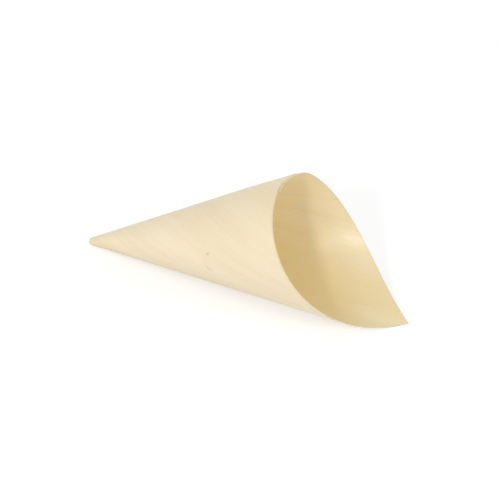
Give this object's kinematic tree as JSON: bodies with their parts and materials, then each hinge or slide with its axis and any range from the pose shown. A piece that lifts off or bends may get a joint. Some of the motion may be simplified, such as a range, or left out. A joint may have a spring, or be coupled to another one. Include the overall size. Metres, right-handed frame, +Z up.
{
  "type": "wooden finger food cone",
  "caption": "Disposable wood veneer cone with a closed nose, a pointed lip and a glued lap along its back, for finger food.",
  "frame": {"origin": "middle of the cone's bounding box on the floor that it lies on", "axes": "+X along the line where the cone touches the floor, from the closed nose to the pointed tip of the mouth; +Z up; +Y completes the right-handed frame"},
  "size_m": [0.18, 0.0726, 0.0656],
  "materials": {
    "veneer": "bare smooth-cut pale veneer"
  },
  "bodies": {
    "root": {"veneer_cone": "veneer"}
  },
  "joints": []
}
